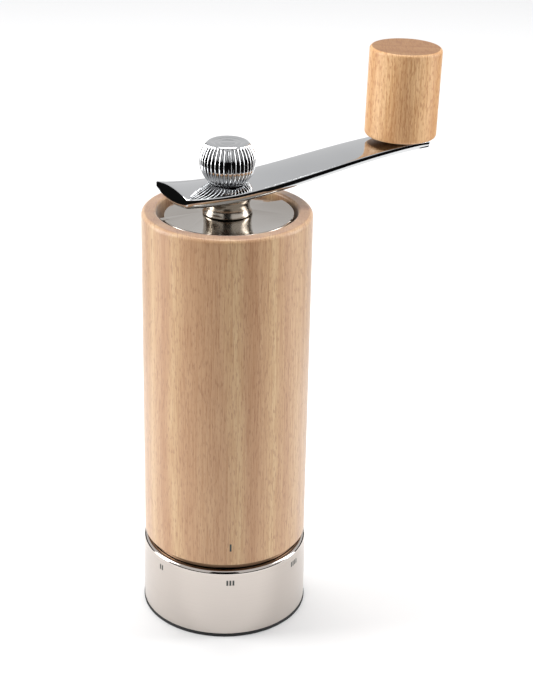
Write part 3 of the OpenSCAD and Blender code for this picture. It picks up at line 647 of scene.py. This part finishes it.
# bar number i belongs to the setting n for which n(n-1)/2 <= i < n(n+1)/2
index = addNode(markTree, "GeometryNodeInputIndex")
eightfold = addNode(markTree, "ShaderNodeMath", {
    0: index.outputs[0], 1: 8.0, 2: 1.0}, operation="MULTIPLY_ADD")
root = addNode(markTree, "ShaderNodeMath", {0: eightfold.outputs[0]}, operation="SQRT")
setting = addNode(markTree, "ShaderNodeMath", {
    0: addNode(markTree, "ShaderNodeMath", {0: root.outputs[0], 1: 0.5, 2: 0.5},
               operation="MULTIPLY_ADD").outputs[0],
}, operation="FLOOR")
lessOne = addNode(markTree, "ShaderNodeMath", {0: setting.outputs[0], 1: 1.0}, operation="SUBTRACT")
firstBar = addNode(markTree, "ShaderNodeMath", {
    0: addNode(markTree, "ShaderNodeMath", {0: setting.outputs[0], 1: lessOne.outputs[0]},
               operation="MULTIPLY").outputs[0],
    1: 0.5,
}, operation="MULTIPLY")
inGroup = addNode(markTree, "ShaderNodeMath", {
    0: index.outputs[0], 1: firstBar.outputs[0]}, operation="SUBTRACT")
centred = addNode(markTree, "ShaderNodeMath", {0: lessOne.outputs[0], 1: -0.5, 2: inGroup.outputs[0]},
                  operation="MULTIPLY_ADD")
groupTurn = addNode(markTree, "ShaderNodeMath", {
    0: setting.outputs[0], 1: markIn.outputs["Step"], 2: markIn.outputs["Start"]}, operation="MULTIPLY_ADD")
barTurn = addNode(markTree, "ShaderNodeMath", {
    0: centred.outputs[0], 1: markIn.outputs["Pitch"], 2: groupTurn.outputs[0]}, operation="MULTIPLY_ADD")
barPlace = addNode(markTree, "ShaderNodeVectorRotate", {
    "Vector": addNode(markTree, "ShaderNodeCombineXYZ", {
        "X": markIn.outputs["Radius"], "Z": markIn.outputs["Level"]}).outputs[0],
    "Angle": barTurn.outputs[0],
}, rotation_type="Z_AXIS")
points = addNode(markTree, "GeometryNodePoints", {
    "Count": markIn.outputs["Bars"], "Position": barPlace.outputs[0]})
bar = addNode(markTree, "GeometryNodeMeshCube", {
    "Size": addNode(markTree, "ShaderNodeCombineXYZ", {
        "X": markIn.outputs["Cut"], "Y": markIn.outputs["Width"], "Z": markIn.outputs["Height"],
    }).outputs[0],
    "Vertices Y": 4, "Vertices Z": 6,
})
bars = addNode(markTree, "GeometryNodeInstanceOnPoints", {
    "Points": points.outputs[0], "Instance": bar.outputs["Mesh"],
    "Rotation": addNode(markTree, "ShaderNodeCombineXYZ", {"Z": barTurn.outputs[0]}).outputs[0],
})
solidBars = addNode(markTree, "GeometryNodeRealizeInstances", {"Geometry": bars.outputs[0]})
painted = addNode(markTree, "GeometryNodeSetMaterial", {
    "Geometry": solidBars.outputs[0], "Material": finishes["mark_paint"]})
addNode(markTree, "NodeGroupOutput", {"Geometry": painted.outputs[0]})

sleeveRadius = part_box("ring_sleeve")[1].x
woodLow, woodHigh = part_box("wood_body")
front = math.radians(marks["indexAngle"] - 90)
step = math.radians(marks["step"])
fillDepth = marks["cut"] * marks["fillShare"] * mm
fillSink = marks["cut"] * marks["fillSink"] * mm
ringFill = dict(
    markSizes, Bars=marks["settings"] * (marks["settings"] + 1) // 2,
    Radius=sleeveRadius - fillSink, Level=sleeveTop - marks["below"] * mm,
    Start=front - marks["restSetting"] * step, Step=step,
    Pitch=marks["barPitch"] * mm / sleeveRadius, Cut=fillDepth)
ringPaint = runTree(markTree, bpy.data.meshes.new("empty"), "settingMarkPaint", ringFill)
newPiece("settingMarkPaint", ringPaint, body="ring", slotName="mark_paint")
indexFill = dict(
    markSizes, Bars=1, Radius=woodHigh.x - fillSink, Level=woodLow.z + marks["above"] * mm,
    Start=front, Height=marks["indexHeight"] * mm, Cut=fillDepth)
indexPaint = runTree(markTree, bpy.data.meshes.new("empty"), "indexMarkPaint", indexFill)
newPiece("indexMarkPaint", indexPaint, body="mill", slotName="mark_paint")


print("stage: floor, light and camera")

stageLook = {
    "floorSize": 24.0,  # metres
    "floor": "e3e3e3",
    "world": "eeeeef",
    "worldStrength": 0.87,
    "aim": (0, 0, 0.1),  # what the lights look at, in metres
}
floorMesh = bpy.data.meshes.new("floor")
half = stageLook["floorSize"] / 2
floorMesh.from_pydata(
    [(-half, -half, 0), (half, -half, 0), (half, half, 0), (-half, half, 0)], [], [(0, 1, 2, 3)])
floor = bpy.data.objects.new("floor", floorMesh)
scene.collection.objects.link(floor)
# matt paper gives the grinder a soft shadow and no mirror image
floorMaterial = newMaterial("paperSweepPale", {
    "Base Color": toLinear(stageLook["floor"]), "Roughness": 0.9, "Specular IOR Level": 0.1})[0]
floorMesh.materials.append(floorMaterial)

# Dark cards lie round the grinder beyond the pale paper and stand up behind it, as a dark room
# does. Only polished surfaces see them, as the black lines in the metal.
cards = {
    # name: where it starts and ends in degrees from the front, and its height in metres
    "lensCard": (-20, 20, 2.2),
    "frontCard": (-78, 78, 0.4),
    "leftCard": (-145, -104, 0.4),
    "rightCard": (104, 145, 0.4),
}
# near and far edges and lift off the floor in metres
cardLook = {"near": 0.24, "far": 1.4, "lift": 0.002, "tone": "0c0c0c", "steps": 32}
# black felt returns almost no light
cardMaterial = newMaterial("feltBlack", {
    "Base Color": toLinear(cardLook["tone"]), "Roughness": 1.0, "Specular IOR Level": 0.0})[0]
for cardName, (start, end, height) in cards.items():
    near, far, lift = cardLook["near"], cardLook["far"], cardLook["lift"]
    rows = ((near, lift), (far, lift), (far, height))
    count = cardLook["steps"] + 1
    angles = [math.radians(start + (end - start) * i / cardLook["steps"] - 90) for i in range(count)]
    cardMesh = bpy.data.meshes.new(cardName)
    corners = [
        (radius * math.cos(angle), radius * math.sin(angle), z)
        for radius, z in rows
        for angle in angles]
    faces = [
        (row * count + i + 1, row * count + i, (row + 1) * count + i, (row + 1) * count + i + 1)
        for row in range(len(rows) - 1)
        for i in range(count - 1)]
    cardMesh.from_pydata(corners, [], faces)
    card = bpy.data.objects.new(cardName, cardMesh)
    scene.collection.objects.link(card)
    cardMesh.materials.append(cardMaterial)
    card.visible_camera = False
    card.visible_shadow = False
    card.visible_diffuse = False

lights = {
    # name: place, size, power, in metres and watts; each looks at the middle of the body
    "overhead": ((0.0, 0.3, 1.25), (0.7, 0.35), 8),
    "leftPanel": ((-1.0, 0.05, 0.45), (0.45, 1.1), 12.5),
    "rightPanel": ((1.0, 0.15, 0.5), (0.35, 1.1), 8.5),
}
aim = Vector(stageLook["aim"])
for lightName, (place, size, power) in lights.items():
    data = bpy.data.lights.new(lightName, "AREA")
    data.shape = "RECTANGLE"
    data.size, data.size_y = size
    data.energy = power
    lamp = bpy.data.objects.new(lightName, data)
    lamp.location = place
    lamp.rotation_euler = (aim - Vector(place)).to_track_quat("-Z", "Y").to_euler()
    scene.collection.objects.link(lamp)

world = bpy.data.worlds.new("studio")
world.use_nodes = True
scene.world = world
background = world.node_tree.nodes["Background"]
background.inputs["Color"].default_value = toLinear(stageLook["world"])
background.inputs["Strength"].default_value = stageLook["worldStrength"]

# place in metres, angles in degrees, lens and sensor in millimetres
cameraLook = {
    "place": (0.0, -0.5546, 0.3625), "pitch": 24.7, "yaw": 1.5, "roll": 1.1,
    "lens": 89.7, "sensor": 36, "clipStart": 0.01,
}
cameraData = bpy.data.cameras.new("camera")
cameraData.lens = cameraLook["lens"]
cameraData.sensor_width = cameraLook["sensor"]
cameraData.clip_start = cameraLook["clipStart"]
camera = bpy.data.objects.new("camera", cameraData)
camera.matrix_world = (
    Matrix.Translation(cameraLook["place"])
    @ Matrix.Rotation(math.radians(-cameraLook["yaw"]), 4, "Z")
    @ Matrix.Rotation(math.radians(90 - cameraLook["pitch"]), 4, "X")
    @ Matrix.Rotation(math.radians(cameraLook["roll"]), 4, "Z")
)
scene.collection.objects.link(camera)
scene.camera = camera
scene.view_settings.view_transform = "Standard"
